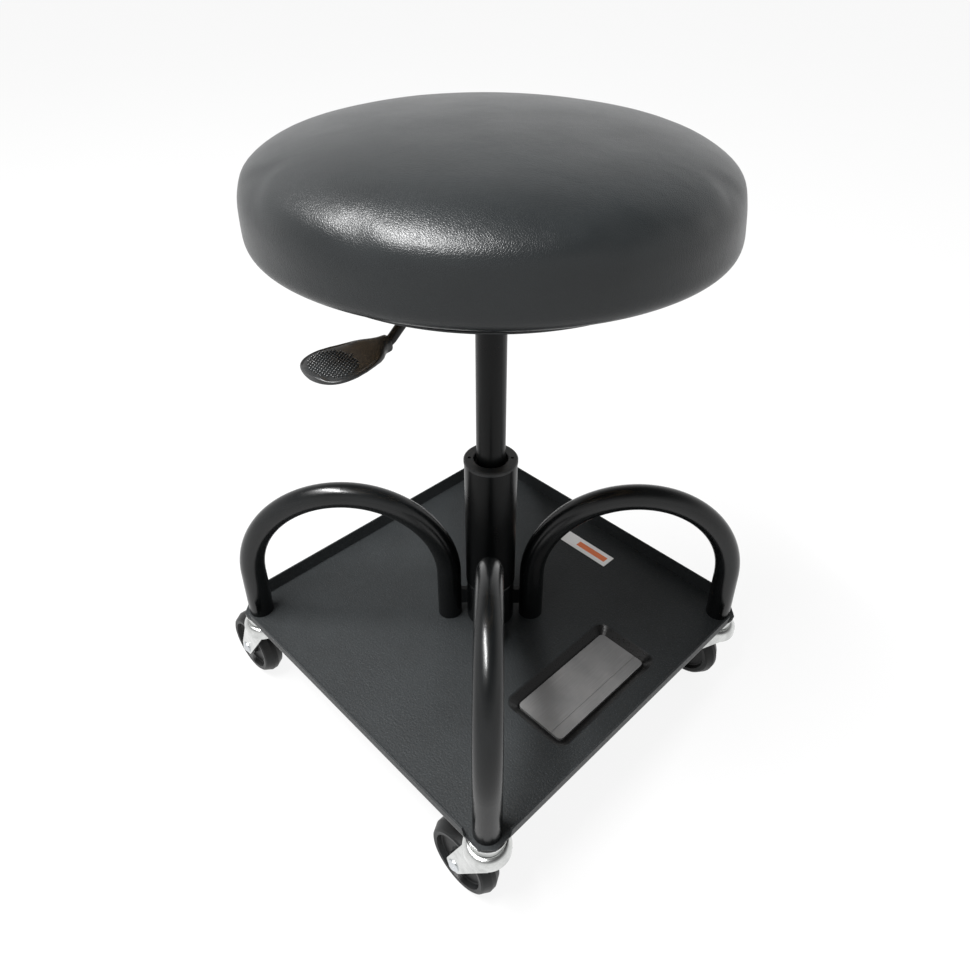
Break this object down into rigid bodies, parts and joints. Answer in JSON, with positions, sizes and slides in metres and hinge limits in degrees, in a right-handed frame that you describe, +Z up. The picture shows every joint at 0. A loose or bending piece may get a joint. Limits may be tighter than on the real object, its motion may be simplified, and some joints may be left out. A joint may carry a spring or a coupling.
{
  "type": "adjustable swivel stool",
  "caption": "Height-adjustable swivel work stool with a round padded seat, gas lift and lever, on a square lipped tool tray with bent tube arches and swivel casters.",
  "frame": {"origin": "on the floor, on the axis of the gas lift", "axes": "+Z up, X and Y along the tray's sides; the lever points to -Y and the parts dish is on the +X side"},
  "size_m": [0.4396, 0.3956, 0.627],
  "materials": {
    "seat_vinyl": "soft satin vinyl with a fine leather grain",
    "foam": "upholstery foam",
    "plywood": "raw plywood",
    "frame_black": "semi-gloss black powder coat",
    "tray_black": "fine-textured charcoal powder coat",
    "column_black": "gloss black enamel",
    "plate_black": "black paint",
    "bush_plastic": "black nylon",
    "paddle_plastic": "moulded black plastic",
    "wheel_black": "solid black polyurethane",
    "bumper_rubber": "rubber",
    "caster_chrome": "bright zinc plate",
    "zinc": "zinc-plated steel",
    "bearing_steel": "ground steel",
    "lever_steel": "black painted rod",
    "magnet_face": "dull grey steel face",
    "label_white": "blank white sticker with a plain orange band",
    "bronze": "sintered bronze"
  },
  "bodies": {
    "base": {"front_caster_stem": "zinc", "front_caster_race": "caster_chrome", "front_caster_balls": "bearing_steel", "front_arch": "frame_black", "right_caster_stem": "zinc", "right_caster_race": "caster_chrome", "right_caster_balls": "bearing_steel", "right_arch": "frame_black", "back_caster_stem": "zinc", "back_caster_race": "caster_chrome", "back_caster_balls": "bearing_steel", "back_arch": "frame_black", "left_caster_stem": "zinc", "left_caster_race": "caster_chrome", "left_caster_balls": "bearing_steel", "left_arch": "frame_black", "tray": "tray_black", "magnet_pad": "magnet_face", "label": "label_white", "leg_inserts": "zinc", "hub": "frame_black", "outer_tube": "column_black", "guide_bush": "bush_plastic", "lower_thrust_washer": "zinc"},
    "rod": {"piston_rod": "bearing_steel", "piston": "zinc", "upper_thrust_washer": "zinc", "thrust_balls": "bearing_steel", "bumper": "bumper_rubber", "retaining_clip": "zinc"},
    "lift": {"pressure_tube": "column_black", "rod_gland": "bush_plastic", "seat_plate": "plate_black", "taper_socket": "plate_black", "lever_bracket": "plate_black", "lever_pivot": "zinc", "seat_board": "plywood", "seat_foam": "foam", "seat_cover": "seat_vinyl", "seat_bolts": "zinc", "seat_nuts": "zinc"},
    "valve": {"valve_pin": "bearing_steel"},
    "lever": {"lever_rod": "lever_steel", "lever_paddle": "paddle_plastic"},
    "front_fork": {"front_caster_fork": "caster_chrome", "front_caster_axle": "zinc"},
    "front_wheel": {"front_caster_bush": "bronze", "front_caster_wheel": "wheel_black"},
    "right_fork": {"right_caster_fork": "caster_chrome", "right_caster_axle": "zinc"},
    "right_wheel": {"right_caster_bush": "bronze", "right_caster_wheel": "wheel_black"},
    "back_fork": {"back_caster_fork": "caster_chrome", "back_caster_axle": "zinc"},
    "back_wheel": {"back_caster_bush": "bronze", "back_caster_wheel": "wheel_black"},
    "left_fork": {"left_caster_fork": "caster_chrome", "left_caster_axle": "zinc"},
    "left_wheel": {"left_caster_bush": "bronze", "left_caster_wheel": "wheel_black"}
  },
  "joints": [
    {"name": "seat_swivel", "type": "hinge", "parent": "base", "child": "rod", "pos_m": [0, 0, 0.0935], "axis": [0, 0, 1], "continuous": true},
    {"name": "seat_height", "type": "slide", "parent": "rod", "child": "lift", "axis": [0, 0, 1], "range_m": [-0.125, 0]},
    {"name": "lever_lift", "type": "hinge", "parent": "lift", "child": "lever", "pos_m": [0.004, -0.032, 0.518], "axis": [-1, 0, 0], "range_deg": [0, 5], "stiffness_Nm_per_rad": 6, "springref_deg": -5.73},
    {"name": "valve_press", "type": "slide", "parent": "lift", "child": "valve", "axis": [0, 0, -1], "range_m": [0, 0.003]},
    {"name": "front_caster_swivel", "type": "hinge", "parent": "base", "child": "front_fork", "pos_m": [0.17628, -0.17628, 0.0955], "axis": [0, 0, 1], "continuous": true},
    {"name": "front_wheel_spin", "type": "hinge", "parent": "front_fork", "child": "front_wheel", "pos_m": [0.14828, -0.17628, 0.0375], "axis": [0, 1, 0], "continuous": true},
    {"name": "right_caster_swivel", "type": "hinge", "parent": "base", "child": "right_fork", "pos_m": [0.17628, 0.17628, 0.0955], "axis": [0, 0, 1], "continuous": true},
    {"name": "right_wheel_spin", "type": "hinge", "parent": "right_fork", "child": "right_wheel", "pos_m": [0.14828, 0.17628, 0.0375], "axis": [0, 1, 0], "continuous": true},
    {"name": "back_caster_swivel", "type": "hinge", "parent": "base", "child": "back_fork", "pos_m": [-0.17628, 0.17628, 0.0955], "axis": [0, 0, 1], "continuous": true},
    {"name": "back_wheel_spin", "type": "hinge", "parent": "back_fork", "child": "back_wheel", "pos_m": [-0.20428, 0.17628, 0.0375], "axis": [0, 1, 0], "continuous": true},
    {"name": "left_caster_swivel", "type": "hinge", "parent": "base", "child": "left_fork", "pos_m": [-0.17628, -0.17628, 0.0955], "axis": [0, 0, 1], "continuous": true},
    {"name": "left_wheel_spin", "type": "hinge", "parent": "left_fork", "child": "left_wheel", "pos_m": [-0.20428, -0.17628, 0.0375], "axis": [0, 1, 0], "continuous": true}
  ],
  "couplings": [
    {"joint": "valve_press", "follows": "lever_lift", "m_per_rad": 0.032}
  ]
}
